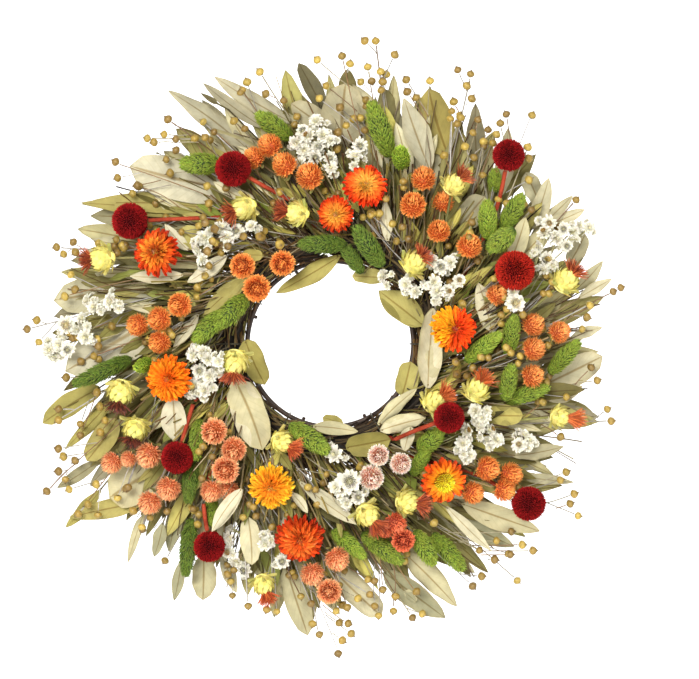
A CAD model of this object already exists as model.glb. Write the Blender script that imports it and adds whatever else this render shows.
import math
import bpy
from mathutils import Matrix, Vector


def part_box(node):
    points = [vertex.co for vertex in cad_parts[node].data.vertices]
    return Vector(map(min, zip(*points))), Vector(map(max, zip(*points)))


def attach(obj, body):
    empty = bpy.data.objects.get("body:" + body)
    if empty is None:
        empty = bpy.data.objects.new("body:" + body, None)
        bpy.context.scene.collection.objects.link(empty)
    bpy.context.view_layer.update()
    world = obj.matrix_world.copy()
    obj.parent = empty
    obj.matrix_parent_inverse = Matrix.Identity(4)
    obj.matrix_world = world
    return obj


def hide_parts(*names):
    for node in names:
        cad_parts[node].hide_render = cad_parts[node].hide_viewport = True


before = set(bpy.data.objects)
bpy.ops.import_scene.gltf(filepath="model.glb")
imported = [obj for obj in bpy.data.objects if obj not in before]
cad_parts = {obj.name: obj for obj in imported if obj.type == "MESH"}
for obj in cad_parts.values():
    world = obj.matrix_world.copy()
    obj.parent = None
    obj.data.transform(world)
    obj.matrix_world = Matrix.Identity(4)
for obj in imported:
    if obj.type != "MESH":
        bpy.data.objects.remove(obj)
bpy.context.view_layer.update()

import zlib

import bpy
import numpy as np
from mathutils import Vector

GOLD = math.pi * (3 - math.sqrt(5))
UP = np.array([0.0, 0.0, 1.0])
FRONT = np.array([0.0, -1.0, 0.0])


# ---------------------------------------------------------------- small helpers (all lengths in mm)
def rng_for(name):
    return np.random.RandomState(zlib.crc32(name.encode()) & 0x7FFFFFFF)


def lin(h):
    h = h.lstrip("#")
    c = np.array([int(h[i:i + 2], 16) / 255 for i in (0, 2, 4)])
    return np.where(c <= 0.04045, c / 12.92, ((c + 0.055) / 1.055) ** 2.4)


def bright(h):
    """A petal's own colour: thin dry petals pass light on to each other, so their folds stay bright."""
    return np.clip(lin(h) * 1.22 + 0.004, 0, 1)


def unit(v):
    v = np.asarray(v, float)
    n = np.linalg.norm(v, axis=-1, keepdims=True)
    return v / np.maximum(n, 1e-9)


def mix(a, b, t):
    t = np.asarray(t, float)
    if t.ndim:
        t = t[..., None]
    return np.asarray(a) * (1 - t) + np.asarray(b) * t


def frame_of(axis):
    a = unit(axis)
    h = UP if abs(a[2]) < 0.9 else np.array([1.0, 0, 0])
    e1 = unit(np.cross(h, a))
    return e1, np.cross(a, e1), a


def jitter(rng, n, amount):
    """Per-instance brightness and a little hue, as multipliers."""
    b = 1 + rng.normal(0, amount, (n, 1))
    return np.clip(b * (1 + rng.normal(0, amount * 0.35, (n, 3))), 0.25, 1.9)


# ---------------------------------------------------------------- reading the frame's meshes
def node_regions(node):
    """The node's mesh split where its CAD faces meet, each as its points in mm."""
    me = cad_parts[node].data
    nv, ne = len(me.vertices), len(me.edges)
    co = np.empty(nv * 3, np.float32)
    me.vertices.foreach_get("co", co)
    co = co.reshape(-1, 3).astype(float) * 1000
    ed = np.empty(ne * 2, np.int32)
    me.edges.foreach_get("vertices", ed)
    ed = ed.reshape(-1, 2)
    lab = np.arange(nv)
    while True:
        m = np.minimum(lab[ed[:, 0]], lab[ed[:, 1]])
        new = lab.copy()
        np.minimum.at(new, ed[:, 0], m)
        np.minimum.at(new, ed[:, 1], m)
        new = new[new]
        if (new == lab).all():
            break
        lab = new
    order = np.argsort(lab, kind="stable")
    cuts = np.flatnonzero(np.diff(lab[order])) + 1
    return [co[i] for i in np.split(order, cuts) if len(i) >= 3]


def fit_sphere(p):
    m = p.mean(0)
    q = p - m
    x = np.linalg.lstsq(np.c_[2 * q, np.ones(len(q))], (q ** 2).sum(1), rcond=None)[0]
    r = math.sqrt(max(x[3] + x[:3] @ x[:3], 0))
    res = np.abs(np.linalg.norm(q - x[:3], axis=1) - r).max()
    return x[:3] + m, r, res


def pca(p):
    m = p.mean(0)
    w, v = np.linalg.eigh(np.cov((p - m).T))
    return m, v[:, ::-1], np.sqrt(np.maximum(w[::-1], 0))


class Parts:
    """Balls, straight stems, plates and other faces found in one node."""

    def __init__(self, node):
        self.balls, self.rods, self.plates, self.other = [], [], [], []
        for p in node_regions(node):
            if len(p) < 4:
                continue
            m, ax, sd = pca(p)
            q = (p - m) @ ax
            ext = q.max(0) - q.min(0)
            if ext[2] < 0.02:
                if ext[0] > 8 and ext[1] > 2.4:
                    self.plates.append((p, m, ax, q))
                continue
            c, r, res = fit_sphere(p)
            if len(p) > 20 and res < 0.06 and ext[2] > 1.2 * r:
                if r > 2.95:
                    self.balls.append((c, r))
                continue
            a = ax[:, 0]
            d = np.linalg.norm((p - m) - np.outer((p - m) @ a, a), axis=1)
            if d.max() < 2.6 and ext[0] > 2.2 * d.max():
                t = (p - m) @ a
                self.rods.append((m + a * t.min(), m + a * t.max(), float(np.median(d))))
            else:
                self.other.append((p, m, ax, q))

    def stem_of(self, c, r):
        """The stem that leaves a ball: its start on the ball and its far end."""
        best = None
        for a, b, w in self.rods:
            if np.linalg.norm(a - c) > np.linalg.norm(b - c):
                a, b = b, a
            u = unit(b - a)
            off = np.linalg.norm((c - a) - ((c - a) @ u) * u)
            gap = abs(np.linalg.norm(a - c) - r)
            s = off + gap
            if gap < 3 and off < 1.5 and (best is None or s < best[0]):
                best = (s, a, b, w)
        return best[1:] if best else None


RING = np.array([list(c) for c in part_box("frame_rail_inner")]).mean(0) * 1000
RING_Y = np.array([list(c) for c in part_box("stem_bundles_nw")])[:, 1] * 1000   # front and back of the bundles


def polar(p):
    return math.hypot(p[0] - RING[0], p[2] - RING[2]), math.degrees(math.atan2(p[2] - RING[2], p[0] - RING[0]))


# ---------------------------------------------------------------- mesh building
class Mesh:
    def __init__(self):
        self.V, self.F, self.C, self.S, self.U, self.n = [], [], [], [], [], 0

    def add(self, v, f, c, smooth=False, uv=None):
        v = np.asarray(v, float).reshape(-1, 3)
        f = np.asarray(f, np.int64).reshape(-1, 3)
        c = np.asarray(c, float)
        if c.ndim == 1:
            c = np.tile(c, (len(v), 1))
        self.V.append(v)
        self.F.append(f + self.n)
        self.C.append(c.reshape(-1, 3))
        self.S.append(np.full(len(f), smooth))
        self.U.append(np.zeros((len(v), 3)) if uv is None else uv)
        self.n += len(v)

    def inst(self, tmpl, M, T, cols, smooth=False):
        tv, tf = tmpl
        n, k = len(M), len(tv)
        v = np.einsum("nij,kj->nki", M, tv) + np.asarray(T)[:, None, :]
        f = (tf[None] + (np.arange(n) * k)[:, None, None]).reshape(-1, 3)
        self.add(v.reshape(-1, 3), f, cols.reshape(-1, 3), smooth)

    def build(self, name, mat, slot, nodes=(), body="wreath", sharp=None):
        V = np.concatenate(self.V) * 0.001
        F = np.concatenate(self.F)
        C = np.concatenate(self.C)
        me = bpy.data.meshes.new(name)
        me.vertices.add(len(V))
        me.vertices.foreach_set("co", V.astype(np.float32).ravel())
        me.loops.add(len(F) * 3)
        me.loops.foreach_set("vertex_index", F.astype(np.int32).ravel())
        me.polygons.add(len(F))
        me.polygons.foreach_set("loop_start", np.arange(0, len(F) * 3, 3, dtype=np.int32))
        me.polygons.foreach_set("use_smooth", np.concatenate(self.S))
        me.update(calc_edges=True)
        col = me.color_attributes.new("Col", "FLOAT_COLOR", "POINT")
        col.data.foreach_set("color", np.c_[np.clip(C, 0, 1), np.ones(len(C))].astype(np.float32).ravel())
        uv = me.attributes.new("Luv", "FLOAT_VECTOR", "POINT")
        uv.data.foreach_set("vector", np.concatenate(self.U).astype(np.float32).ravel())
        me.materials.append(mat)
        ob = bpy.data.objects.new(name, me)
        bpy.context.scene.collection.objects.link(ob)
        if sharp:
            me.set_sharp_from_angle(angle=math.radians(sharp))
        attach(ob, body)
        if nodes:
            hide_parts(*nodes)
        return ob


def outward(v, f):
    v, f = np.asarray(v, float), np.asarray(f, np.int64)
    vol = np.einsum("ij,ij->i", v[f[:, 0]], np.cross(v[f[:, 1]], v[f[:, 2]])).sum()
    return (v, f if vol > 0 else f[:, ::-1].copy())


def strip(a, b, k):
    """Two rings of k points starting at a and b, closed round."""
    out = []
    for i in range(k):
        j = (i + 1) % k
        out += [(a + i, b + i, b + j), (a + i, b + j, a + j)]
    return out


def scale_blade(stations, curve=0.0, ridge=0.35):
    """Unit bract along x with a ridged back (+z), closed: three points a station and one tip."""
    v = []
    for x, w in stations:
        z = curve * x * x
        v += [(x, -w / 2, z), (x, 0, z + ridge * w), (x, w / 2, z)]
    f = [(0, 1, 2)]
    for i in range(len(stations) - 1):
        f += strip(3 * i, 3 * i + 3, 3)
    t = len(v)
    v.append((1, 0, curve))
    b = t - 3
    f += [(b, t, b + 1), (b + 1, t, b + 2), (b + 2, t, b)]
    return outward(v, f)


def petal_blade(stations, curve=0.0, cup=0.3, thick=0.06):
    """Unit petal along x with a channel down its upper face (+z)."""
    v = []
    for x, w in stations:
        z = curve * x * x
        v += [(x, -w / 2, z + cup * w), (x, 0, z), (x, w / 2, z + cup * w), (x, 0, z - thick)]
    f = [(0, 1, 2), (0, 2, 3)]
    for i in range(len(stations) - 1):
        f += strip(4 * i, 4 * i + 4, 4)
    t = len(v)
    v.append((1, 0, curve - thick * 0.4))
    b = t - 4
    f += [(b + i, t, b + (i + 1) % 4) for i in range(4)]
    return outward(v, f)


BRACT = scale_blade([(0, 0.5), (0.45, 1.0), (0.8, 0.55)], 0.08, 0.3)
GLUME = scale_blade([(0, 0.6), (0.4, 1.0), (0.78, 0.75)], -0.10, 0.45)
PETAL = petal_blade([(0, 0.45), (0.35, 0.85), (0.65, 1.0), (0.9, 0.74)], 0.16, 0.28, 0.07)
PETAL_IN = petal_blade([(0, 0.5), (0.35, 0.85), (0.65, 1.0), (0.9, 0.7)], -0.22, 0.3, 0.07)
PAPER = petal_blade([(0, 0.55), (0.45, 1.0), (0.82, 0.8)], 0.05, 0.22, 0.10)
GRAIN = outward([(0, 0, 0), (0.5, 0.5, 0), (0.5, -0.25, 0.43), (0.5, -0.25, -0.43), (1, 0, 0)],
                [(0, 1, 2), (0, 2, 3), (0, 3, 1), (4, 2, 1), (4, 3, 2), (4, 1, 3)])


def revolve(profile, sides):
    """Closed unit solid of revolution about x from (x, radius) pairs, pointed at both ends."""
    v = [(profile[0][0], 0, 0)]
    for x, r in profile[1:-1]:
        for i in range(sides):
            a = 2 * math.pi * i / sides
            v.append((x, r * math.cos(a), r * math.sin(a)))
    e = len(v)
    v.append((profile[-1][0], 0, 0))
    f = [(0, 1 + (i + 1) % sides, 1 + i) for i in range(sides)]
    for k in range(len(profile) - 3):
        f += strip(1 + k * sides, 1 + (k + 1) * sides, sides)
    b = 1 + (len(profile) - 3) * sides
    f += [(b + i, b + (i + 1) % sides, e) for i in range(sides)]
    return outward(v, f)


def capsule_template():
    """Flax capsule with five lobes and a drawn-out point, along +x."""
    prof = [(-0.82, 0), (-0.72, 0.42), (-0.45, 0.82), (-0.05, 1.0), (0.35, 0.9), (0.68, 0.6), (0.9, 0.25), (1.12, 0.07), (1.38, 0)]
    v, f = revolve(prof, 15)
    v = v.copy()
    a = np.arctan2(v[:, 2], v[:, 1])
    r = 1 + 0.06 * np.cos(5 * a)
    v[:, 1] *= r
    v[:, 2] *= r
    return v, f


CAPSULE = capsule_template()


def tube(mesh, pts, rad, col, sides=6, smooth=True):
    pts = np.asarray(pts, float)
    m = len(pts)
    rad = np.broadcast_to(rad, (m,))
    t = unit(np.gradient(pts, axis=0))
    e1 = frame_of(t[0])[0]
    v = []
    ang = np.arange(sides) * 2 * math.pi / sides
    for i in range(m):
        e1 = unit(e1 - (e1 @ t[i]) * t[i])
        e2 = np.cross(t[i], e1)
        v.append(pts[i] + rad[i] * (np.outer(np.cos(ang), e1) + np.outer(np.sin(ang), e2)))
    v = np.concatenate(v)
    f = []
    for i in range(m - 1):
        f += strip(i * sides, (i + 1) * sides, sides)
    f += [(0, i + 1, i) for i in range(1, sides - 1)]
    b = (m - 1) * sides
    f += [(b, b + i, b + i + 1) for i in range(1, sides - 1)]
    v, f = outward(v - pts.mean(0), f)
    col = np.asarray(col, float)
    if col.ndim == 2:
        col = np.repeat(col, sides, axis=0)
    mesh.add(v + pts.mean(0), f, col, smooth)


def bent(rng, a, b, n=7, sag=0.03, droop=None):
    """Points from a to b along a slightly bent stem."""
    a, b = np.asarray(a, float), np.asarray(b, float)
    t = np.linspace(0, 1, n)
    L = np.linalg.norm(b - a)
    e1, e2, _ = frame_of(b - a)
    k1, k2 = rng.normal(0, sag, 2) * L
    k3 = rng.normal(0, sag * 0.4) * L
    p = a + np.outer(t, b - a)
    p += np.outer(np.sin(math.pi * t), e1 * k1 + e2 * k2) + np.outer(np.sin(2 * math.pi * t), e1 * k3)
    return p


def stem(mesh, rng, a, b, r, cols, sides=6, sag=0.015, n=6):
    c = lin(cols[rng.randint(len(cols))]) * (1 + rng.normal(0, 0.12))
    p = bent(rng, a, b, n, sag)
    shade = (1 + rng.normal(0, 0.08, n))[:, None]
    tube(mesh, p, r * (1 + rng.normal(0, 0.06, n)), c * shade, sides)


# ---------------------------------------------------------------- materials
def node_mat(name, rough=0.7, sheen=0.0, noise=(900.0, 0.22), bump=0.25, bump_scale=1500.0, sss=0.0,
             spec=0.35, translucent=0.0, leaf=False, metal=0.0):
    m = bpy.data.materials.new(name)
    m.use_nodes = True
    nt = m.node_tree
    nt.nodes.clear()
    N, L = nt.nodes.new, nt.links.new
    out = N("ShaderNodeOutputMaterial")
    p = N("ShaderNodeBsdfPrincipled")
    p.inputs["Roughness"].default_value = rough
    p.inputs["Metallic"].default_value = metal
    p.inputs["Specular IOR Level"].default_value = spec
    if sheen:
        p.inputs["Sheen Weight"].default_value = sheen
        p.inputs["Sheen Roughness"].default_value = 0.5
    if sss:
        p.inputs["Subsurface Weight"].default_value = sss
        p.inputs["Subsurface Radius"].default_value = (0.0012, 0.0006, 0.0003)
        p.inputs["Subsurface Scale"].default_value = 1.0
    at = N("ShaderNodeAttribute")
    at.attribute_name = "Col"
    tc = N("ShaderNodeTexCoord")
    nz = N("ShaderNodeTexNoise")
    nz.inputs["Scale"].default_value = noise[0]
    nz.inputs["Detail"].default_value = 4
    L(tc.outputs["Object"], nz.inputs["Vector"])
    mr = N("ShaderNodeMapRange")
    mr.inputs["From Min"].default_value = 0.3
    mr.inputs["From Max"].default_value = 0.7
    mr.inputs["To Min"].default_value = 1 - noise[1]
    mr.inputs["To Max"].default_value = 1 + noise[1]
    L(nz.outputs["Fac"], mr.inputs["Value"])
    mul = N("ShaderNodeVectorMath")
    mul.operation = "SCALE"
    L(at.outputs["Color"], mul.inputs[0])
    L(mr.outputs["Result"], mul.inputs["Scale"])
    colour = mul.outputs[0]
    height = None
    if leaf:
        lu = N("ShaderNodeAttribute")
        lu.attribute_name = "Luv"
        sep = N("ShaderNodeSeparateXYZ")
        L(lu.outputs["Vector"], sep.inputs[0])
        ab = N("ShaderNodeMath")
        ab.operation = "ABSOLUTE"
        L(sep.outputs["Y"], ab.inputs[0])
        # midrib: a narrow band along the middle of the leaf
        rib = N("ShaderNodeMapRange")
        rib.inputs["From Min"].default_value = 0.035
        rib.inputs["From Max"].default_value = 0.11
        rib.inputs["To Min"].default_value = 1
        rib.inputs["To Max"].default_value = 0
        L(ab.outputs[0], rib.inputs["Value"])
        # side veins run forward from the midrib
        k = N("ShaderNodeMath")
        k.operation = "MULTIPLY_ADD"
        L(ab.outputs[0], k.inputs[0])
        k.inputs[1].default_value = -0.22
        L(sep.outputs["X"], k.inputs[2])
        k2 = N("ShaderNodeMath")
        k2.operation = "MULTIPLY"
        L(k.outputs[0], k2.inputs[0])
        k2.inputs[1].default_value = 62.0
        sn = N("ShaderNodeMath")
        sn.operation = "SINE"
        L(k2.outputs[0], sn.inputs[0])
        vein = N("ShaderNodeMapRange")
        vein.inputs["From Min"].default_value = 0.82
        vein.inputs["From Max"].default_value = 1.0
        L(sn.outputs[0], vein.inputs["Value"])
        both = N("ShaderNodeMath")
        both.operation = "MULTIPLY_ADD"
        L(vein.outputs["Result"], both.inputs[0])
        both.inputs[1].default_value = 0.16
        L(rib.outputs["Result"], both.inputs[2])
        cl = N("ShaderNodeClamp")
        L(both.outputs[0], cl.inputs["Value"])
        dark = N("ShaderNodeMix")
        dark.data_type = "RGBA"
        dark.blend_type = "MULTIPLY"
        L(cl.outputs[0], dark.inputs["Factor"])
        L(colour, dark.inputs[6])
        dark.inputs[7].default_value = (0.62, 0.52, 0.36, 1)
        colour = dark.outputs[2]
        height = cl.outputs[0]
    L(colour, p.inputs["Base Color"])
    nb = N("ShaderNodeTexNoise")
    nb.inputs["Scale"].default_value = bump_scale
    nb.inputs["Detail"].default_value = 3
    L(tc.outputs["Object"], nb.inputs["Vector"])
    rr = N("ShaderNodeMapRange")
    rr.inputs["To Min"].default_value = max(rough - 0.12, 0.05)
    rr.inputs["To Max"].default_value = min(rough + 0.12, 1.0)
    L(nb.outputs["Fac"], rr.inputs["Value"])
    L(rr.outputs["Result"], p.inputs["Roughness"])
    bp = N("ShaderNodeBump")
    bp.inputs["Strength"].default_value = bump
    bp.inputs["Distance"].default_value = 0.0004
    if height is not None:
        ad = N("ShaderNodeMath")
        ad.operation = "MULTIPLY_ADD"
        L(height, ad.inputs[0])
        ad.inputs[1].default_value = -1.2
        L(nb.outputs["Fac"], ad.inputs[2])
        L(ad.outputs[0], bp.inputs["Height"])
    else:
        L(nb.outputs["Fac"], bp.inputs["Height"])
    L(bp.outputs["Normal"], p.inputs["Normal"])
    L(p.outputs[0], out.inputs["Surface"])
    return m


MAT = {
    "straw": node_mat("strawflower_bracts", 0.42, noise=(700, 0.16), bump=0.2, spec=0.5, sss=0.0),
    "drum": node_mat("burgundy_velvet", 0.9, sheen=0.0, noise=(1100, 0.3), bump=0.4, spec=0.08),
    "gom": node_mat("amaranth_bracts", 0.62, noise=(900, 0.18), bump=0.25, spec=0.4),
    "grass": node_mat("grass_husks", 0.68, noise=(1200, 0.2), bump=0.3),
    "white": node_mat("papery_white", 0.5, noise=(900, 0.06), bump=0.2, spec=0.45),
    "saf": node_mat("safflower_husks", 0.6, noise=(500, 0.16), bump=0.3),
    "flax": node_mat("flax_capsules", 0.42, noise=(420, 0.2), bump=0.2, spec=0.5),
    "leaf": node_mat("felted_leaf", 0.72, noise=(150, 0.12), bump=0.35, bump_scale=700, leaf=True),
    "stems": node_mat("dry_stems", 0.75, noise=(600, 0.3), bump=0.5),
}


# ---------------------------------------------------------------- plants
SILVER = ["#a9a39a", "#8f8776", "#9b9071"]
STEM_TAN = ["#8d7a50", "#a08c5e", "#6f5a38", "#7d6a4a"]
STEM_GREEN = ["#7c7a42", "#6c6a3a", "#8a8250"]


def gomphrena(mesh, rng, c, R, axis, base, tipc, n=430):
    lin = bright
    e1, e2, a = frame_of(axis)
    i = np.arange(n)
    ct = 1 - 1.82 * (i + 0.5) / n
    st = np.sqrt(1 - ct ** 2)
    ph = i * GOLD + rng.rand() * 6
    d = (st * np.cos(ph))[:, None] * e1 + (st * np.sin(ph))[:, None] * e2 + ct[:, None] * a
    d = unit(d + rng.normal(0, 0.06, d.shape))
    up = unit(a - (d @ a)[:, None] * d + 1e-6)
    al = np.radians(rng.normal(58, 11, n))[:, None]
    t = unit(np.cos(al) * up + np.sin(al) * d)
    nrm = unit(d - (d * t).sum(1)[:, None] * t)
    b = np.cross(nrm, t)
    Ls = R * rng.uniform(0.30, 0.44, n)
    W = R * rng.uniform(0.095, 0.15, n)
    M = np.stack([t * Ls[:, None], b * W[:, None], nrm * W[:, None]], axis=2)
    o = c + d * (R * rng.uniform(0.62, 0.70, n))[:, None]
    k = len(BRACT[0])
    tt = BRACT[0][:, 0]
    j = jitter(rng, n, 0.14)
    cols = mix(lin(base) * 0.85, lin(tipc), np.clip(tt * 1.15, 0, 1) ** 1.3)[None] * j[:, None, :]
    mesh.inst(BRACT, M, o, cols)
    # pale core so that no gap shows through
    v, f = revolve([(-1, 0), (-0.8, 0.6), (-0.3, 0.95), (0.3, 0.95), (0.8, 0.6), (1, 0)], 14)
    mesh.inst((v * R * 0.74, f), np.stack([a, e1, e2], axis=1)[None], c[None], np.tile(lin(base) * 0.45, (1, len(v), 1)), True)
    # two green leaves under the head
    for s in range(3):
        an = rng.rand() * 6.28
        r = np.cos(an) * e1 + np.sin(an) * e2
        t = unit(r * 0.9 - a * 0.1)
        nn = unit(np.cross(t, np.cross(a, t)))
        M = np.stack([t * R * 0.8, np.cross(nn, t) * R * 0.3, nn * R * 0.12], axis=1)[None]
        mesh.inst(PETAL, M, (c - a * R * 0.9)[None], np.tile(lin("#8d8a4c"), (1, len(PETAL[0]), 1)))


def drumhead(mesh, rng, c, R, axis, vivid=False):
    n = 1900
    e1, e2, a = frame_of(axis)
    i = np.arange(n)
    ct = 1 - 1.97 * (i + 0.5) / n
    st = np.sqrt(1 - ct ** 2)
    ph = i * GOLD
    d = (st * np.cos(ph))[:, None] * e1 + (st * np.sin(ph))[:, None] * e2 + ct[:, None] * a
    d = unit(d + rng.normal(0, 0.02, d.shape))
    g1 = unit(np.cross(d, UP + 0.01))
    g2 = np.cross(d, g1)
    L = R * rng.uniform(0.15, 0.25, n)
    W = R * rng.uniform(0.06, 0.09, n)
    M = np.stack([d * L[:, None], g1 * W[:, None], g2 * W[:, None]], axis=2)
    lump = 1 + 0.02 * np.sin(7 * d[:, 0] + 3) * np.sin(6 * d[:, 1]) * np.sin(8 * d[:, 2])
    o = c + d * (R * 0.80 * lump)[:, None]
    j = jitter(rng, n, 0.24)
    lo, hi = ("#7a100f", "#c43020") if vivid else ("#5a0c0e", "#a01c1c")
    tt = np.clip(GRAIN[0][:, 0] * 1.2, 0, 1)
    cols = mix(lin(lo), lin(hi), tt)[None] * j[:, None, :]
    mesh.inst(GRAIN, M, o, cols)
    v, f = revolve([(-1, 0), (-0.8, 0.6), (-0.3, 0.95), (0.3, 0.95), (0.8, 0.6), (1, 0)], 20)
    mesh.inst((v * R * 0.86, f), np.stack([a, e1, e2], axis=1)[None], c[None], np.tile(lin("#36070a"), (1, len(v), 1)), True)


STRAW = {
    "strawflower_1": dict(w=["#d2300c", "#de3e10", "#e8541a", "#f07824", "#f59a34", "#f8b848", "#fac85c"], c="#f0a83c", bits="#f8c858"),
    "strawflower_2": dict(w=["#bf2c0c", "#d43e0e", "#e65a18", "#f07c26", "#f59c36", "#f7b244", "#f8c050"], c="#f0a03a", bits="#f8c45c"),
    "strawflower_3": dict(w=["#b42c0e", "#cc3e12", "#dc5218", "#e87c28", "#f0a638", "#e2952e", "#c8661e"], c="#a84a18", bits="#f0c048"),
    "strawflower_4": dict(w=["#e04410", "#e85214", "#ee6216", "#ee6014", "#e65212", "#d84610", "#cc4012"], c="#c04414", bits="#e08a24", side="#f4a81e"),
    "strawflower_5": dict(w=["#ee7414", "#f48414", "#f89416", "#f8a01c", "#f69418", "#f08214", "#e86e12"], c="#d86014", bits="#f2a030"),
    "strawflower_6": dict(w=["#f6bc2c", "#f7b428", "#f7ac24", "#f5a022", "#f4961e", "#f08a1c", "#ee821c"], c="#f09428", bits="#fbd05a"),
    "strawflower_7": dict(w=["#a8280c", "#c8380e", "#dc5214", "#ee7022", "#f28630", "#ee7a28", "#e06820"], c="#c4501c", bits="#f8a040"),
    "strawflower_8": dict(w=["#c23a0c", "#e06410", "#ee7e12", "#f08e16", "#f0a01c", "#eeb224", "#ecbe30"], c="#f2d322", bits="#fbe94a", disc=0.36),
}


def strawhead(mesh, rng, c, R, ax, spec):
    lin = bright
    e1, e2, a = frame_of(ax)
    rows = [  # count, base radius, length, elevation, width, lift
        (30, 0.30, 0.68, -12, 0.165, -0.13), (30, 0.29, 0.68, 2, 0.165, -0.07), (28, 0.27, 0.64, 14, 0.16, -0.01),
        (26, 0.25, 0.58, 27, 0.155, 0.05), (23, 0.22, 0.50, 41, 0.14, 0.10), (20, 0.18, 0.42, 55, 0.125, 0.14), (16, 0.13, 0.34, 70, 0.105, 0.17)]
    disc = spec.get("disc", 0.26)
    if "disc" in spec:      # an open flower: petals stand round a broad flat disc
        rows = [(24, 0.37, 0.60, -8, 0.20, -0.12), (24, 0.37, 0.58, 6, 0.20, -0.07), (22, 0.36, 0.52, 18, 0.18, -0.02), (22, 0.36, 0.36, 30, 0.15, 0.03)]
    for k, (n, rb, L, el, W, up) in enumerate(rows):
        ph = (np.arange(n) + 0.5 * (k % 2)) * 2 * math.pi / n + rng.normal(0, 0.07, n) + k * 0.4
        r = np.cos(ph)[:, None] * e1 + np.sin(ph)[:, None] * e2
        e = np.radians(el + rng.normal(0, 6, n))[:, None]
        t = np.cos(e) * r + np.sin(e) * a
        nn = -np.sin(e) * r + np.cos(e) * a
        tw = rng.normal(0, 0.22, n)[:, None]
        b0 = np.cross(nn, t)
        nn2 = nn * np.cos(tw) + b0 * np.sin(tw)
        b = np.cross(nn2, t)
        Ls = R * L * rng.uniform(0.86, 1.1, n)
        Ws = R * W * rng.uniform(0.85, 1.15, n)
        M = np.stack([t * Ls[:, None], b * Ws[:, None], nn2 * Ls[:, None] * 0.8], axis=2)
        o = c + r * (R * rb) + a * (R * up)
        tm = PETAL if k < 3 else PETAL_IN
        tt = tm[0][:, 0]
        cc = lin(spec["w"][k])
        j = jitter(rng, n, 0.11)
        tipd = lin(spec["w"][0]) * 0.8
        glow = lin(spec["w"][min(k + 3, 6)])
        cols = mix(mix(glow, cc, 0.35), mix(cc, tipd, 0.35), np.clip(tt * 1.15, 0, 1) ** 1.4)[None] * j[:, None, :]
        if "side" in spec:   # one half of the flower opens in a warmer yellow
            s = np.clip((r @ np.array([-1.0, 0, 0.25])) * 1.6 + 0.35 - 0.12 * k, 0, 1)
            cols = mix(cols, lin(spec["side"])[None, None] * j[:, None, :], s[:, None] * np.ones((1, len(tt))))
        mesh.inst(tm, M, o, cols)
    # centre: packed florets
    n = 110 if disc < 0.3 else 260
    i = np.arange(n)
    rr = disc * R * np.sqrt((i + 0.5) / n)
    ph = i * GOLD
    r = np.cos(ph)[:, None] * e1 + np.sin(ph)[:, None] * e2
    d = unit(a + r * (rr / R * 1.6)[:, None] + rng.normal(0, 0.12, (n, 3)))
    g1 = unit(np.cross(d, e1 + 0.01))
    g2 = np.cross(d, g1)
    L = R * rng.uniform(0.14, 0.24, n)
    W = R * rng.uniform(0.035, 0.05, n)
    M = np.stack([d * L[:, None], g1 * W[:, None], g2 * W[:, None]], axis=2)
    o = c + r * rr[:, None] + a * (R * (0.20 + (0.16 if disc > 0.3 else 0.06) * (1 - (rr / (disc * R)) ** 2)))[:, None]
    pick = rng.rand(n) < 0.4
    cc = np.where(pick[:, None], lin(spec["bits"]), lin(spec["c"])) * jitter(rng, n, 0.15)
    mesh.inst(GRAIN, M, o, np.repeat(cc[:, None], 5, 1))
    # calyx underneath: overlapping tan scales
    n = 60
    i = np.arange(n)
    ph = i * GOLD
    h = (i + 0.5) / n
    r = np.cos(ph)[:, None] * e1 + np.sin(ph)[:, None] * e2
    o = c - a * (R * (0.42 - 0.34 * h))[:, None] + r * (R * (0.12 + 0.42 * h ** 0.8))[:, None]
    t = unit(r * 0.9 + a * 0.5)
    nn = unit(-a * 0.9 + r * 0.5)
    nn = unit(nn - (nn * t).sum(1)[:, None] * t)
    b = np.cross(nn, t)
    M = np.stack([t * R * 0.34, b * R * 0.22, nn * R * 0.2], axis=2)
    cc = mix(lin("#a87838"), lin(spec["w"][0]), np.clip(h * 1.1, 0, 1)) * jitter(rng, n, 0.12)
    mesh.inst(BRACT, M, o, np.repeat(cc[:, None], len(BRACT[0]), 1))
    v, f = revolve([(-1, 0), (-0.85, 0.25), (-0.3, 0.8), (0.2, 1), (0.7, 0.8), (1, 0)], 16)
    v = v * np.array([0.36, 0.44, 0.44]) * R
    mesh.inst((v, f), np.stack([a, e1, e2], axis=1)[None], (c - a * 0.06 * R)[None], np.tile(lin(spec["w"][4]) * 0.35, (1, len(v), 1)), True)


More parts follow.
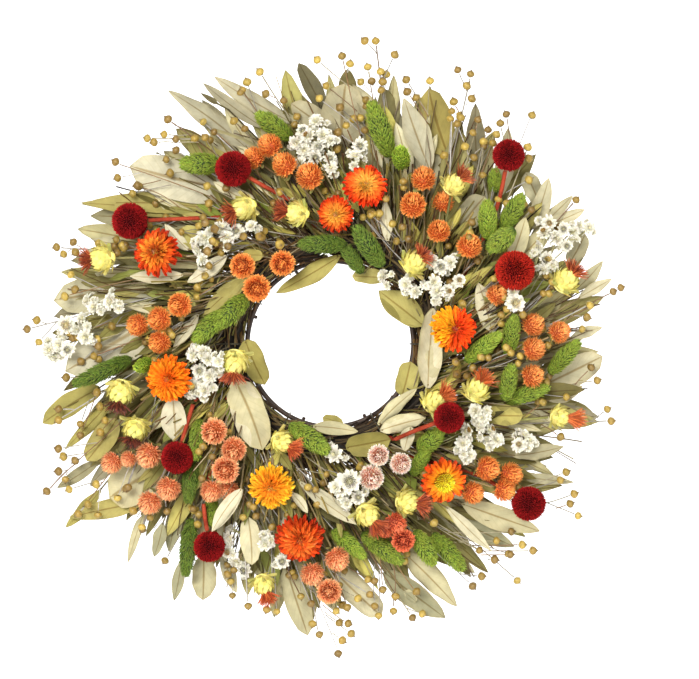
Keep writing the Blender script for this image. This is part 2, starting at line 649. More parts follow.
def spike(mesh, rng, base, tip, W, tone):
    a = unit(tip - base)
    L = np.linalg.norm(tip - base)
    e1, e2, _ = frame_of(a)
    n = int(560 + 9.0 * L)
    i = np.arange(n)
    t = (i + 0.5) / n
    hw = W * (4 * t * (1 - t)) ** 0.62 * 0.86
    hw = np.maximum(hw, 0.2 * W)
    ph = i * GOLD
    r = np.cos(ph)[:, None] * e1 + np.sin(ph)[:, None] * e2
    lean = np.radians(46 - 26 * t + rng.normal(0, 9, n))[:, None]
    d = unit(np.cos(lean) * a + np.sin(lean) * r)
    nn = unit(r - (r * d).sum(1)[:, None] * d)
    b = np.cross(nn, d)
    Ls = (0.14 * W + 2.5 + 0.03 * L) * rng.uniform(0.75, 1.25, n)
    Ws = (0.08 * W + 0.5) * rng.uniform(0.85, 1.15, n)
    M = np.stack([d * Ls[:, None], b * Ws[:, None], nn * (Ws * 0.9)[:, None]], axis=2)
    o = base + a * (L * (0.02 + 0.9 * t))[:, None] - a * 1.2 + r * (hw * 0.76)[:, None]
    j = jitter(rng, n, 0.16)
    green, pale = tone
    tt = GLUME[0][:, 0]
    edge = np.abs(GLUME[0][:, 1])
    k = np.clip(-0.12 + 0.4 * edge + 1.2 * tt ** 1.6, 0, 1)
    cols = mix(lin(green), lin(pale), k)[None] * j[:, None, :]
    mesh.inst(GLUME, M, o, cols)
    v, f = revolve([(0, 0), (0.08, 0.35), (0.3, 0.85), (0.5, 1), (0.7, 0.85), (0.92, 0.3), (1, 0)], 12)
    v = v * np.array([L, W * 0.86, W * 0.86])
    mesh.inst((v, f), np.stack([a, e1, e2], axis=1)[None], base[None], np.tile(lin(green) * 0.5, (1, len(v), 1)), True)


def floret(mesh, rng, c, R, axis, kind):
    e1, e2, a = frame_of(axis)
    rows = [(13, 0.92, 4, 0.46), (12, 0.82, 22, 0.44), (9, 0.55, 46, 0.36)] if kind in ("open", "dark", "brown") else \
           [(12, 0.92, 6, 0.48), (11, 0.80, 26, 0.46), (9, 0.60, 50, 0.40), (6, 0.42, 72, 0.3)]
    for k, (n, L, el, W) in enumerate(rows):
        ph = (np.arange(n) + 0.5 * k) * 2 * math.pi / n + rng.normal(0, 0.12, n)
        r = np.cos(ph)[:, None] * e1 + np.sin(ph)[:, None] * e2
        e = np.radians(el + rng.normal(0, 9, n))[:, None]
        t = np.cos(e) * r + np.sin(e) * a
        nn = -np.sin(e) * r + np.cos(e) * a
        b = np.cross(nn, t)
        Ls = R * L * rng.uniform(0.85, 1.1, n)
        Ws = R * W * rng.uniform(0.85, 1.15, n)
        M = np.stack([t * Ls[:, None], b * Ws[:, None], nn * Ls[:, None] * 0.7], axis=2)
        o = c + r * (R * 0.16) + a * (R * (-0.15 + 0.1 * k))
        j = jitter(rng, n, 0.045)
        tt = PAPER[0][:, 0]
        cols = mix(lin("#b3aa80"), lin("#e4e0cf"), np.clip(tt * 2.2, 0, 1))[None] * j[:, None, :]
        mesh.inst(PAPER, M, o, cols)
    dome = {"white": ("#f3edd4", "#e2d9a8"), "dark": ("#3a3424", "#2a2418"), "open": ("#8a6a2c", "#c9a548"), "brown": ("#b08a3a", "#8a6426")}[kind]
    n = 46
    i = np.arange(n)
    rad = 0.40 if kind in ("open", "dark") else 0.30
    rr = rad * R * np.sqrt((i + 0.5) / n)
    ph = i * GOLD
    r = np.cos(ph)[:, None] * e1 + np.sin(ph)[:, None] * e2
    d = unit(a + r * (rr / R * 1.5)[:, None])
    g1 = unit(np.cross(d, e1 + 0.01))
    g2 = np.cross(d, g1)
    M = np.stack([d * R * 0.22, g1 * R * 0.10, g2 * R * 0.10], axis=2)
    lift = 0.42 if kind in ("open", "dark", "brown") else 0.18
    o = c + r * rr[:, None] + a * (R * (lift - 0.5 * (rr / R) ** 2))[:, None]
    cc = np.where((rng.rand(n) < 0.5)[:, None], lin(dome[0]), lin(dome[1])) * jitter(rng, n, 0.12)
    mesh.inst(GRAIN, M, o, np.repeat(cc[:, None], 5, 1))
    v, f = revolve([(-1, 0), (-0.6, 0.7), (0.2, 1), (0.8, 0.7), (1, 0)], 10)
    mesh.inst((v * R * 0.36, f), np.stack([a, e1, e2], axis=1)[None], c[None], np.tile(lin("#cfc79a"), (1, len(v), 1)), True)


def capsule(mesh, rng, c, R, axis):
    e1, e2, a = frame_of(axis)
    s = R * rng.uniform(0.9, 1.06)
    M = np.stack([a * s, e1 * s, e2 * s], axis=1)
    M = np.stack([a * s, e1 * s, e2 * s]).T[None]
    tt = CAPSULE[0][:, 0]
    base = [lin("#b0923f"), lin("#9c7f38"), lin("#bfa24a"), lin("#8d7034"), lin("#a8893c")][rng.randint(5)] * 0.86 * (1 + rng.normal(0, 0.10))
    ang = np.arctan2(CAPSULE[0][:, 2], CAPSULE[0][:, 1])
    seam = (np.cos(5 * ang) < -0.6) & (np.abs(tt) < 0.8)
    k = np.clip((tt - 0.55) * 2.0, 0, 1) * 0.85
    cols = mix(np.where(seam[:, None], base * 0.6, base), lin("#5e4420"), k)
    mesh.inst(CAPSULE, M, c[None], cols[None], True)
    n = 5
    ph = np.arange(n) * 2 * math.pi / n + rng.rand() * 6
    r = np.cos(ph)[:, None] * e1 + np.sin(ph)[:, None] * e2
    t = unit(r * 0.62 + a * 0.85)
    nn = unit(r - (r * t).sum(1)[:, None] * t)
    b = np.cross(nn, t)
    M = np.stack([t * s * 1.25, b * s * 0.62, nn * s * 0.3], axis=2)
    mesh.inst(BRACT, M, c - a * s * 0.80 + r * s * 0.18, np.tile(lin("#7e6a34"), (n, len(BRACT[0]), 1)) * jitter(rng, n, 0.1)[:, None])


def thistle(mesh, rng, c, R, stem_dir, tuft, tl, fire, husk=("#e0d57c", "#c0b55c")):
    lin = bright
    a = unit(tuft)
    e1, e2, _ = frame_of(a)
    # husk: overlapping scales that close towards the tuft
    n = 46
    i = np.arange(n)
    ct = -0.97 + 1.72 * (i + 0.5) / n
    st = np.sqrt(1 - ct ** 2)
    ph = i * GOLD
    d = (st * np.cos(ph))[:, None] * e1 + (st * np.sin(ph))[:, None] * e2 + ct[:, None] * a
    up = unit(a - (d @ a)[:, None] * d + 1e-6)
    t = unit(up * 0.92 + d * 0.22)
    nn = unit(d - (d * t).sum(1)[:, None] * t)
    b = np.cross(nn, t)
    M = np.stack([t * R * 0.85, b * R * 0.66, nn * R * 0.22], axis=2)
    j = jitter(rng, n, 0.09)
    tt = BRACT[0][:, 0]
    cols = mix(lin(husk[0]), lin(husk[1]), np.clip(tt, 0, 1))[None] * j[:, None]
    mesh.inst(BRACT, M, c + d * R * 0.78, cols)
    v, f = revolve([(-1, 0), (-0.8, 0.6), (-0.3, 0.95), (0.3, 0.95), (0.8, 0.6), (1, 0)], 16)
    mesh.inst((v * R * 0.9, f), np.stack([a, e1, e2], axis=1)[None], c[None], np.tile(lin(husk[0]) * 0.92, (1, len(v), 1)), True)
    # leafy bracts flare from the base
    n = 6
    ph = np.arange(n) * 2 * math.pi / n + rng.rand() * 6
    r = np.cos(ph)[:, None] * e1 + np.sin(ph)[:, None] * e2
    t = unit(r * 0.95 + a * rng.uniform(-0.2, 0.6, (n, 1)))
    nn = unit(a - (t @ a)[:, None] * t)
    b = np.cross(nn, t)
    M = np.stack([t * R * 1.05, b * R * 0.42, nn * R * 0.8], axis=2)
    mesh.inst(PETAL, M, c + r * R * 0.55 - a * R * 0.5, np.tile(lin("#a9a25a"), (n, len(PETAL[0]), 1)) * jitter(rng, n, 0.12)[:, None])
    # tuft of threads
    n = 190
    for k in range(n):
        an = rng.rand() * 6.28
        rad = math.sqrt(rng.rand())
        r = math.cos(an) * e1 + math.sin(an) * e2
        p0 = c + a * R * 0.72 + r * rad * R * 0.22
        L = (tl - R * 0.7) * rng.uniform(0.75, 1.1)
        p2 = p0 + a * L * (1 - 0.25 * rad ** 2) + r * rad * R * rng.uniform(0.5, 1.15) + rng.normal(0, R * 0.07, 3)
        p1 = (p0 + p2) / 2 + a * L * 0.08 - r * rad * R * 0.06
        tube(mesh, [p0, p1, p2], [0.26, 0.34, 0.15], lin(fire[rng.randint(len(fire))]) * (1 + rng.normal(0, 0.18)), 3, False)


def leaf(mesh, rng, base, tip, nrm, hw, col, edge, curl=1.0, nt=20, ns=9, thick=0.35):
    u = unit(tip - base)
    L = np.linalg.norm(tip - base)
    nrm = unit(nrm - (nrm @ u) * u)
    w = np.cross(nrm, u)
    t = np.linspace(0, 1, nt)
    s = np.linspace(-1, 1, ns)
    T, S = np.meshgrid(t, s, indexing="ij")
    half = np.interp(t, np.linspace(0, 1, len(hw)), hw)
    half = np.maximum(half, 0.35) * (1 + 0.04 * np.sin(t * 9 + rng.rand() * 6))
    half[-1] = 0.15
    W = half.max()
    sgn = 1 if rng.rand() < 0.6 else -1
    cup = rng.uniform(0.05, 0.30) * sgn * curl
    bend = rng.uniform(-0.10, 0.16) * L * curl
    k = rng.uniform(1.6, 3.2)
    wav = rng.uniform(0.03, 0.10) * W * curl
    tw = rng.uniform(-0.35, 0.35) * curl
    q = (half[:, None] * S)
    z = cup * q ** 2 / max(W, 1) + bend * (T - 0.35) ** 2 - bend * 0.12
    z = z + wav * np.sin(k * 2 * math.pi * T + rng.rand() * 6 + 1.3 * S) * np.abs(S) ** 1.5
    z = z + q * np.tan(np.clip(tw * (T - 0.4), -0.6, 0.6))
    z = z - 0.35 * np.exp(-(S / 0.12) ** 2) * (1 - T)     # grooved midrib
    side = rng.uniform(-0.05, 0.05) * L
    y = q + side * np.sin(math.pi * T) * 0.6
    P = base + np.einsum("ij,k->ijk", T * L, u) + np.einsum("ij,k->ijk", y, w) + np.einsum("ij,k->ijk", z, nrm)
    th = thick * (0.35 + 0.65 * np.exp(-(S / 0.5) ** 2))
    Q = P - np.einsum("ij,k->ijk", th, nrm)
    v = np.concatenate([P.reshape(-1, 3), Q.reshape(-1, 3)])
    n = nt * ns
    f = []
    for i in range(nt - 1):
        for j in range(ns - 1):
            a, b, c, d = i * ns + j, i * ns + j + 1, (i + 1) * ns + j + 1, (i + 1) * ns + j
            f += [(a, d, c), (a, c, b), (n + a, n + b, n + c), (n + a, n + c, n + d)]
    rim = [i * ns for i in range(nt)] + [(nt - 1) * ns + j for j in range(1, ns)] + \
          [i * ns + ns - 1 for i in range(nt - 2, -1, -1)] + [j for j in range(ns - 2, 0, -1)]
    for i in range(len(rim)):
        a, b = rim[i], rim[(i + 1) % len(rim)]
        f += [(a, n + a, n + b), (a, n + b, b)]
    v0, f = outward(v - v.mean(0), f)
    e = np.clip((np.abs(S) - 0.55) * 1.6, 0, 1) * 0.45 + np.clip((T - 0.86) * 5, 0, 1) * 0.5
    e = np.clip(e * rng.uniform(0.4, 1.2), 0, 1)
    blot = 0.06 * np.sin(5 * T + 2 * S + rng.rand() * 6)
    c = mix(col, edge, e) * (1 + blot)[..., None]
    c = c.reshape(-1, 3)
    uv = np.stack([T * L / 70.0, S, np.full_like(T, rng.rand())], axis=-1).reshape(-1, 3)
    mesh.add(v, f, np.concatenate([c, c * 0.9]), True, np.concatenate([uv, uv]))


# ---------------------------------------------------------------- building each node's piece
def do_gomphrena(node):
    P, rng, mesh = Parts(node), rng_for(node), Mesh()
    for c, R in P.balls:
        s = P.stem_of(c, R)
        axis = unit(c - s[1]) if s else FRONT
        r, ang = polar(c)
        x, z = c[0] - RING[0], c[2] - RING[2]
        if z < -60 and 25 < x < 70 and r < 118:
            base, tip = "#dc8a68", "#ffe3d2"      # pale salmon, inside the bottom
        elif z < -55 and x < 10:
            base, tip = "#dc6c34", "#f8b07c"      # salmon, lower left
        elif z < -130 and x > 30:
            base, tip = "#b8401f", "#e67e52"      # red, bottom right
        elif x > 120 and -30 < z < 60:
            base, tip = "#d25e1c", "#f4a256"
        else:
            base, tip = "#d85c14", "#fa9e4e"      # orange
        gomphrena(mesh, rng, c, R, unit(axis + 0.25 * FRONT), base, tip)
        if s:
            stem(mesh, rng, s[0], s[1], 0.75, STEM_TAN)
    mesh.build(node + "_heads", MAT["gom"], "amaranth_bracts", [node])


def do_drum(node):
    P, rng, mesh = Parts(node), rng_for(node), Mesh()
    c, R = max(P.balls, key=lambda b: b[1])
    s = P.stem_of(c, R)
    axis = unit(c - s[1]) if s else FRONT
    drumhead(mesh, rng, c, R, axis, vivid=(node == "drumstick_4"))
    for a, b, w in P.rods:
        n = 9
        p = bent(rng, a, b, n, 0.012)
        cc = mix(lin("#a8462e"), lin("#8a3422"), rng.rand(n)) * (1 + rng.normal(0, 0.05, n))[:, None]
        tube(mesh, p, w * (0.92 + 0.06 * rng.rand(n)), cc, 8)
    mesh.build(node + "_head", MAT["drum"], "burgundy_globes", [node])


def do_straw(node):
    P, rng, mesh = Parts(node), rng_for(node), Mesh()
    caps = []
    for p, m, ax, q in P.other:
        c, r, res = fit_sphere(p)
        if res < 0.1 and len(p) > 200:
            caps.append((len(p), c, r, p))
    caps = sorted(caps, key=lambda t: -t[0])[:2]
    caps.sort(key=lambda t: t[2])                  # the front cap has the smaller radius of curvature
    front, back = caps
    ax = unit(back[1] - front[1])
    pts = np.concatenate([front[3], back[3]])
    rel = pts - front[1]
    rad = np.linalg.norm(rel - np.outer(rel @ ax, ax), axis=1)
    R = rad.max()
    c = front[1] + ax * (rel @ ax)[rad.argmax()]
    strawhead(mesh, rng, c, R * 0.98, ax, STRAW[node])
    for a, b, w in P.rods:
        stem(mesh, rng, a, b, w * 0.9, STEM_TAN, 7)
    mesh.build(node + "_head", MAT["straw"], "strawflower_bracts", [node])


def do_grass(node):
    P, rng, mesh = Parts(node), rng_for(node), Mesh()
    for p, m, ax, q in P.other:
        a = ax[:, 0]
        ext = q.max(0) - q.min(0)
        if ext[0] < 14 or ext[1] < 7:
            continue
        t = (p - m) @ a
        d = np.linalg.norm((p - m) - np.outer(t, a), axis=1)
        lo, hi = d[t < t.min() + 0.4].mean(), d[t > t.max() - 0.4].mean()
        if lo < hi:
            a, t = -a, -t
        L = (t.max() - t.min()) / 0.9
        base = m + a * (t.min() - 0.08 * L)
        r, ang = polar(m)
        tone = ("#3c5210", "#98aa3a")
        x, z = m[0] - RING[0], m[2] - RING[2]
        k = rng.rand()
        if L < 31 and abs(a[1]) > 0.5:
            tone = ("#66901a", "#c4d850")
        elif x < -110 or (abs(x) < 50 and 60 < z < 110):
            tone = ("#2a400a", "#748a30")
        elif k < 0.3:
            tone = ("#486812", "#a8ba42")
        spike(mesh, rng, base, base + a * L, d.max(), tone)
    for a, b, w in P.rods:
        stem(mesh, rng, a, b, 0.7, STEM_GREEN)
    mesh.build(node + "_spikes", MAT["grass"], "grass_spikes", [node])


def do_everlasting(node):
    P, rng, mesh = Parts(node), rng_for(node), Mesh()
    for c, R in P.balls:
        s = P.stem_of(c, R)
        axis = unit(c - s[1]) if s else FRONT
        face = unit(0.55 * FRONT + 0.45 * axis + rng.normal(0, 0.28, 3))
        kind = "white"
        if R > 8.2:
            kind = "dark"
        elif abs(R - 7.2) < 0.15:
            kind = "open"
            face = unit(FRONT + rng.normal(0, 0.12, 3))
        elif rng.rand() < 0.16:
            kind = "dark"
            face = unit(FRONT + rng.normal(0, 0.2, 3))
        elif rng.rand() < 0.12:
            kind = "brown"
        floret(mesh, rng, c, R * 1.16, face, kind)
        for k in range(3 if kind == "white" else 1):
            e1, e2, _ = frame_of(face)
            an = rng.rand() * 6.28
            off = (math.cos(an) * e1 + math.sin(an) * e2) * R * rng.uniform(1.05, 1.45) - face * R * rng.uniform(0.3, 1.1)
            f2 = unit(face + off / R * 0.35 + rng.normal(0, 0.2, 3))
            floret(mesh, rng, c + off, R * rng.uniform(0.55, 0.8), f2, "white")
            tube(mesh, bent(rng, c - face * R * 1.9, c + off - f2 * R * 0.2, 5, 0.05), 0.35, lin("#a8a06a"), 4)
    for a, b, w in P.rods:
        stem(mesh, rng, a, b, max(0.4, w * 0.9), ["#9a9468", "#a8a06a", "#8f8a58"], 5)
    mesh.build(node + "_florets", MAT["white"], "everlasting_florets", [node])


def do_safflower(node):
    P, rng, mesh = Parts(node), rng_for(node), Mesh()
    for c, R in P.balls:
        s = P.stem_of(c, R)
        sd = unit(s[1] - c) if s else -FRONT
        best = None
        for p, m, ax, q in P.other:
            d = np.linalg.norm(m - c)
            if best is None or d < best[0]:
                best = (d, p, m)
        d = unit(best[2] - c)
        tl = ((best[1] - c) @ d).max()
        x, z = c[0] - RING[0], c[2] - RING[2]
        if x < -100 and z < 0:
            fire = ["#54261a", "#6e3424", "#8a4028", "#431a10"]
        elif z < -60 and x < 0:
            fire = ["#c05a2c", "#a84824", "#94381c", "#cc7038"]
        elif x > 80 and z < -30:
            fire = ["#cc6c34", "#b85a28", "#a04820"]
        else:
            fire = ["#8a3a20", "#a84a26", "#bc6234", "#6e2a18"]
        thistle(mesh, rng, c, R, sd, d, tl, fire)
        if s:
            stem(mesh, rng, s[0], s[1], 1.0, STEM_GREEN)
    mesh.build(node + "_heads", MAT["saf"], "safflower_heads", [node])


def do_flax(node):
    P, rng, mesh = Parts(node), rng_for(node), Mesh()
    for c, R in P.balls:
        s = P.stem_of(c, R)
        axis = unit(c - s[1]) if s else unit(c - RING)
        capsule(mesh, rng, c, R, unit(axis + rng.normal(0, 0.12, 3)))
    for a, b, w in P.rods:
        stem(mesh, rng, a, b, 0.42 if w < 0.55 else 0.55, SILVER + ["#8a6a42", "#7a5c3a"], 5, 0.02)
    mesh.build(node + "_capsules", MAT["flax"], "flax_capsules", [node])


LEAF_TONES = {
    "leaves_top_cream": (["#dcd7ba", "#cfc9a8", "#c9c6a8", "#e2dcc0"], "#b09a60"),
    "leaves_top_olive": (["#8c8659", "#9a9060", "#a9a26a", "#7e7a52"], "#6a5c34"),
    "leaves_right": (["#dcd7ba", "#c6c2a4", "#b9b496", "#e0dabd"], "#a8925a"),
    "leaves_bottom": (["#dad5b8", "#c9c4a2", "#a9a88a", "#cfc9a6"], "#a08c58"),
    "leaves_left_olive": (["#b3aa5e", "#a9a068", "#a8a484", "#bdb26a"], "#8a7a40"),
    "leaves_left_cream": (["#d9d4b8", "#dedac4", "#d3cfb4"], "#b0a060"),
    "leaves_inner_white": (["#e8e4cc", "#e0dbc0", "#e4dfc8"], "#bdb082"),
    "leaves_inner_cream": (["#e0dabb", "#d8d2ae", "#e6e0c4"], "#b8a868"),
    "leaves_inner_olive": (["#b8ae62", "#c3ba70", "#a9a058"], "#94864a"),
    "leaves_back": (["#c9c3a0", "#a9a370", "#dcd6b8", "#8f8a5c", "#b9b48e", "#77704a"], "#8a7c48"),
}


# tones of the leaves that show clearly, in order round the wreath from the left side anticlockwise
LEAF_ORDER = {
    "leaves_top_olive": ["#9a9478", "#b5a75e", "#8f885a", "#857c4e", "#6f6a4e", "#6c6440"],
    "leaves_top_cream": ["#d6d2bb", "#cdc7aa", "#c0ba9e", "#c6c1a9", "#b1ac94", "#bcb8a1"],
    "leaves_right": ["#a9a48e", "#d8cc98", "#dad3b2", "#e2dcc0", "#b5a778", "#cdc8ac", "#a5a18c", "#d2ccb0",
                     "#e0dabd", "#b3ae9a", "#dcd6b6", "#c2bda4", "#dcd7ba"],
    "leaves_bottom": ["#a09c84", "#a39c62", "#bdb89c", "#aaa68e", "#c4bfa2", "#8f8a6c", "#a89f5c", "#d5d0ae",
                      "#6f6a3e", "#d2ccaa", "#d9d3b4", "#cfc9a8", "#dad5b8"],
    "leaves_left_olive": ["#a59d5a", "#aca564", "#b5ab62", "#a3a07c", "#a8a484", "#aaa68c", "#b3aa5e", "#bdb26a"],
}


def do_leaves(node):
    P, rng, mesh = Parts(node), rng_for(node), Mesh()
    tones, edge = LEAF_TONES[node]
    slotname = "white_leaves" if "white" in node else "olive_leaves" if "olive" in node else "cream_leaves"
    done, found = [], []
    for p, m, ax, q in P.plates:
        n = ax[:, 2]
        if any(np.linalg.norm(m - o) < 2.2 for o in done):
            continue
        done.append(m)
        u = ax[:, 0]
        t = q[:, 0]
        lo, hi = m + u * t.min(), m + u * t.max()

        def gap(e):
            return min([min(np.linalg.norm(a - e), np.linalg.norm(b - e)) for a, b, w in P.rods] + [abs(polar(e)[0] - 85) + 8])
        base, tip = (lo, hi) if gap(lo) <= gap(hi) else (hi, lo)
        if base is hi:
            t = -t
        if n[1] > 0:
            n = -n
        L = t.max() - t.min()
        x = (t - t.min()) / L
        hw = [0.6]
        for i in range(1, 10):
            sel = np.abs(x - i / 10) < 0.035
            hw.append(np.abs(q[sel, 1]).max() if sel.any() else hw[-1])
        hw.append(0.1)
        hw = np.array(hw)
        blunt = hw[9] > 0.41 * hw.max()
        hw = hw.max() * (hw / hw.max()) ** (0.62 if blunt else 0.86)
        found.append((polar(tip)[1], base, tip, n, hw))
    found.sort(key=lambda f: f[0])
    order = LEAF_ORDER.get(node)
    for i, (an, base, tip, n, hw) in enumerate(found):
        tone = order[i] if order and len(order) == len(found) else tones[rng.randint(len(tones))]
        col = lin(tone) * np.array([0.70, 0.67, 0.58]) * (1 + rng.normal(0, 0.03 if order else 0.06))
        leaf(mesh, rng, base, tip, n, hw, col, mix(lin(edge), col, 0.35), curl=1.15 if max(hw) < 14 else 0.7)
        # short petiole
        near = [(min(np.linalg.norm(a - base), np.linalg.norm(b - base)), a, b) for a, b, w in P.rods]
        if near:
            dd, a, b = min(near, key=lambda k: k[0])
            if dd < 6:
                far = b if np.linalg.norm(a - base) < np.linalg.norm(b - base) else a
                tube(mesh, bent(rng, far, base + (tip - base) * 0.04, 6, 0.01), 0.7, col * 0.72, 6)
    mesh.build(node + "_set", MAT["leaf"], slotname, [node], sharp=70)


def do_bundles(node):
    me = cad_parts[node].data
    co = np.empty(len(me.vertices) * 3, np.float32)
    me.vertices.foreach_get("co", co)
    co = co.reshape(-1, 3).astype(float) * 1000
    rng, mesh = rng_for(node), Mesh()
    r = np.hypot(co[:, 0] - RING[0], co[:, 2] - RING[2])
    rc, rt = (r.max() + r.min()) / 2, (co[:, 1].max() - co[:, 1].min()) / 2
    yc = (co[:, 1].max() + co[:, 1].min()) / 2
    ang = np.degrees(np.arctan2(co[:, 2] - RING[2], co[:, 0] - RING[0]))
    mid = math.degrees(math.atan2(co[:, 2].mean() - RING[2], co[:, 0].mean() - RING[0]))
    rel = (ang - mid + 180) % 360 - 180
    a0, a1 = mid + rel.min(), mid + rel.max()

    def at(a, rad, phi):
        a = math.radians(a)
        rr = rc + rad * math.cos(phi)
        return np.array([RING[0] + rr * math.cos(a), yc - rad * math.sin(phi), RING[2] + rr * math.sin(a)])
    # dark packed core
    n = 26
    pts = [at(a0 + (a1 - a0) * i / (n - 1), 0, 0) for i in range(n)]
    core = rt * 0.80 * (1 + 0.05 * np.sin(np.arange(n) * 2.1))
    core[0] = core[-1] = rt * 0.6
    tube(mesh, pts, core, lin("#1a140d"), 18)
    tan = ["#4c3c24", "#332818", "#5e4c2e", "#241b10", "#6e5c38", "#3c2f1c", "#7c7440"]
    for i in range(150):
        aa = rng.uniform(a0 - 2, a1 - 12)
        ln = rng.uniform(14, 34)
        phi = rng.uniform(0, 2 * math.pi)
        dphi = rng.normal(0, 0.45)
        k = 7
        b = min(aa + ln, a1 + 2)
        p = [at(aa + (b - aa) * j / (k - 1), rt * (0.82 + 0.10 * math.sin(math.pi * j / (k - 1)) + 0.02 * rng.rand()), phi + dphi * j / (k - 1)) for j in range(k)]
        tube(mesh, p, rng.uniform(0.45, 1.15), lin(tan[rng.randint(len(tan))]) * (1 + rng.normal(0, 0.15)), 5)
    mesh.build(node + "_stems", MAT["stems"], "dry_stems", [node])


def do_filler():
    """Loose twigs, stem ends and leaf scraps that fill the depth of the wreath between the heads."""
    rng = rng_for("filler")
    yb = RING_Y.min()
    yc = RING_Y.mean()
    for part in range(4):
        mesh = Mesh()
        for i in range(250):
            ang = part * 90 + rng.uniform(0, 90)
            a = math.radians(ang)
            r0 = rng.uniform(78, 96)
            p0 = np.array([RING[0] + r0 * math.cos(a), yc - rng.uniform(6, 14), RING[2] + r0 * math.sin(a)])
            sw = math.radians(rng.normal(34, 12))
            L = rng.uniform(22, 78)
            up = rng.uniform(0.02, 0.42)
            d = np.array([math.cos(a + sw), -up, math.sin(a + sw)])
            if rng.rand() < 0.12:      # some lean in over the opening's rim
                d = np.array([math.cos(a + 1.9), -0.3, math.sin(a + 1.9)])
                L = rng.uniform(12, 30)
            p1 = p0 + unit(d) * L
            k = rng.rand()
            if k < 0.45:
                cols, w = ["#4a3620", "#5c4428", "#2e2012", "#745c34"], rng.uniform(0.35, 0.8)
            elif k < 0.75:
                cols, w = ["#9a8f58", "#8f8a4a", "#b4a868", "#747038"], rng.uniform(0.4, 0.9)
            else:
                cols, w = ["#a9a39a", "#c2bca8", "#8f8a80"], rng.uniform(0.25, 0.5)
            stem(mesh, rng, p0, p1, w, cols, 5, 0.03, 6)
        for i in range(95):
            ang = part * 90 + rng.uniform(0, 90)
            a = math.radians(ang)
            r0 = rng.uniform(88, 135)
            p0 = np.array([RING[0] + r0 * math.cos(a), yc - rng.uniform(8, 20), RING[2] + r0 * math.sin(a)])
            sw = math.radians(rng.normal(34, 20))
            d = unit(np.array([math.cos(a + sw), -rng.uniform(0.0, 0.35), math.sin(a + sw)]))
            L = rng.uniform(16, 34)
            hw = L * rng.uniform(0.10, 0.17) * np.sin(np.pi * np.linspace(0, 1, 11)) ** 0.8
            nn = unit(FRONT + rng.normal(0, 0.5, 3))
            tone = ["#6e6832", "#8f8844", "#565024", "#a89e50", "#4a4420", "#c0b458", "#7f8a34"][rng.randint(7)]
            leaf(mesh, rng, p0, p0 + d * L, nn, hw, lin(tone), lin("#4a3c20"), 1.6, 10, 5)
        for i in range(84):
            a = math.radians(part * 90 + rng.uniform(0, 90))
            r0 = rng.uniform(92, 165)
            depth = rng.uniform(8, 34) if r0 < 125 else rng.uniform(5, 20)
            p0 = np.array([RING[0] + r0 * math.cos(a), RING_Y.max() - depth, RING[2] + r0 * math.sin(a)])
            sw = math.radians(rng.normal(26, 16))
            L = rng.uniform(26, 54)
            L = min(L, 212 - r0)
            d = unit(np.array([math.cos(a + sw), -rng.uniform(-0.05, 0.22), math.sin(a + sw)]))
            hw = L * rng.uniform(0.10, 0.17) * np.sin(np.pi * np.linspace(0, 1, 11) ** 0.9) ** rng.uniform(0.55, 0.9)
            tone = ["#cfc69a", "#aba058", "#8a8444", "#ddd4ac", "#6f6832", "#bcb060", "#a39a70", "#5e5628", "#c2b85c", "#8f9446"][rng.randint(10)]
            leaf(mesh, rng, p0, p0 + d * L, unit(FRONT + rng.normal(0, 0.42, 3)), hw, lin(tone), lin("#7a6a3c"), 1.5, 14, 7)
            tube(mesh, bent(rng, p0 - d * 14, p0 + d * 2, 4, 0.02), 0.6, lin(tone) * 0.6, 5)
        # narrow leaves and twigs low in the outer ring, behind the heads and the large leaves
        for i in range([80, 74, 104, 88][part]):
            a = math.radians(part * 90 + rng.uniform(0, 90))
            r0 = rng.uniform(118, 178)
            p0 = np.array([RING[0] + r0 * math.cos(a), RING_Y.max() - rng.uniform(2, 9), RING[2] + r0 * math.sin(a)])
            sw = math.radians(rng.normal(24, 14))
            d = unit(np.array([math.cos(a + sw), -rng.uniform(-0.03, 0.07), math.sin(a + sw)]))
            L = min(rng.uniform(36, 68), 230 - r0)
            hw = L * rng.uniform(0.10, 0.17) * np.sin(np.pi * np.linspace(0, 1, 11) ** 0.9) ** rng.uniform(0.55, 0.9)
            tone = ["#b4ab7c", "#8f864e", "#7c7440", "#c9c196", "#6a6236", "#a39a62", "#8d866a", "#7a7340", "#a8a05a", "#bdb590"][rng.randint(10)]
            leaf(mesh, rng, p0, p0 + d * L, unit(FRONT + rng.normal(0, 0.36, 3)), hw, lin(tone), lin("#6e5f34"), 1.4, 12, 7)
            tube(mesh, bent(rng, p0 - d * 22, p0 + d * 2, 4, 0.02), 0.6, lin(tone) * 0.6, 5)
        for i in range(70):
            a = math.radians(part * 90 + rng.uniform(0, 90))
            r0 = rng.uniform(110, 150)
            p0 = np.array([RING[0] + r0 * math.cos(a), RING_Y.max() - rng.uniform(3, 14), RING[2] + r0 * math.sin(a)])
            sw = math.radians(rng.normal(22, 12))
            d = unit(np.array([math.cos(a + sw), -rng.uniform(-0.02, 0.12), math.sin(a + sw)]))
            cols = [["#5c4428", "#745c34", "#3e2e1a"], ["#8f8a4a", "#747038", "#a89c5c"], ["#8f8776", "#a9a39a", "#7a6a52"]][rng.randint(3)]
            stem(mesh, rng, p0, p0 + d * min(rng.uniform(40, 88), 228 - r0), rng.uniform(0.3, 0.6), cols, 5, 0.04, 6)
